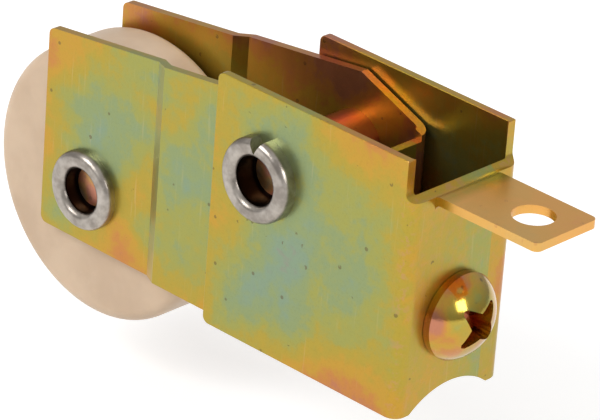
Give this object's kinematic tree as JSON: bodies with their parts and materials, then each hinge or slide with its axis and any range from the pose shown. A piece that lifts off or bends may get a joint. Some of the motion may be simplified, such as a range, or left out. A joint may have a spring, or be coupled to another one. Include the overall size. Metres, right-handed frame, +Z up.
{
  "type": "sliding door roller",
  "caption": "Adjustable sliding door roller: folded steel housing with a drilled tab, tilting carrier, nylon ball bearing wheel and end adjusting screw.",
  "frame": {"origin": "centre of the fixing hole on the tab's top face", "axes": "+Z up out of the fixing hole, +X along the rail from the wheel towards the screw, Y across the rail"},
  "size_m": [0.0842, 0.0212, 0.0412],
  "materials": {
    "dichromate_steel": "yellow zinc dichromate, iridescent, satin",
    "zinc_steel": "bright zinc, rolled",
    "copper_dichromate": "coppery dichromate",
    "screw_dichromate": "glossy gold dichromate",
    "nylon": "natural nylon, semi-matt",
    "bearing_steel": "polished steel"
  },
  "bodies": {
    "housing": {"housing": "dichromate_steel", "pivot_rivet": "zinc_steel"},
    "carrier": {"carrier": "dichromate_steel", "pivot_spacer": "copper_dichromate", "axle_rivet": "zinc_steel", "inner_race": "bearing_steel"},
    "wheel": {"wheel_tyre": "nylon", "outer_race": "bearing_steel", "bearing_shield_near": "bearing_steel", "bearing_shield_far": "bearing_steel"},
    "balls": {"ball_01": "bearing_steel", "ball_02": "bearing_steel", "ball_03": "bearing_steel", "ball_04": "bearing_steel", "ball_05": "bearing_steel", "ball_06": "bearing_steel", "ball_07": "bearing_steel", "ball_08": "bearing_steel", "ball_09": "bearing_steel", "ball_10": "bearing_steel", "ball_11": "bearing_steel", "ball_12": "bearing_steel", "ball_13": "bearing_steel", "ball_14": "bearing_steel"},
    "screw": {"adjusting_screw": "screw_dichromate"},
    "nut": {"adjusting_nut": "screw_dichromate"}
  },
  "joints": [
    {"name": "carrier_tilt", "type": "hinge", "parent": "housing", "child": "carrier", "pos_m": [-0.03215, 0, -0.00545], "axis": [0, -1, 0], "range_deg": [-5, 15]},
    {"name": "wheel_spin", "type": "hinge", "parent": "carrier", "child": "wheel", "pos_m": [-0.06225, 0, -0.01945], "axis": [0, 1, 0], "continuous": true},
    {"name": "ball_orbit", "type": "hinge", "parent": "carrier", "child": "balls", "pos_m": [-0.06225, 0, -0.01945], "axis": [0, 1, 0], "continuous": true},
    {"name": "screw_turn", "type": "hinge", "parent": "housing", "child": "screw", "pos_m": [-0.00975, 0, -0.01615], "axis": [1, 0, 0], "range_deg": [-953, 319]},
    {"name": "nut_travel", "type": "slide", "parent": "housing", "child": "nut", "axis": [1, 0, 0], "range_m": [-0.00098, 0.00285]}
  ],
  "couplings": [
    {"joint": "ball_orbit", "follows": "wheel_spin", "ratio": 0.60769},
    {"joint": "screw_turn", "follows": "carrier_tilt", "ratio": -63.425},
    {"joint": "nut_travel", "follows": "carrier_tilt", "m_per_rad": 0.0107}
  ]
}
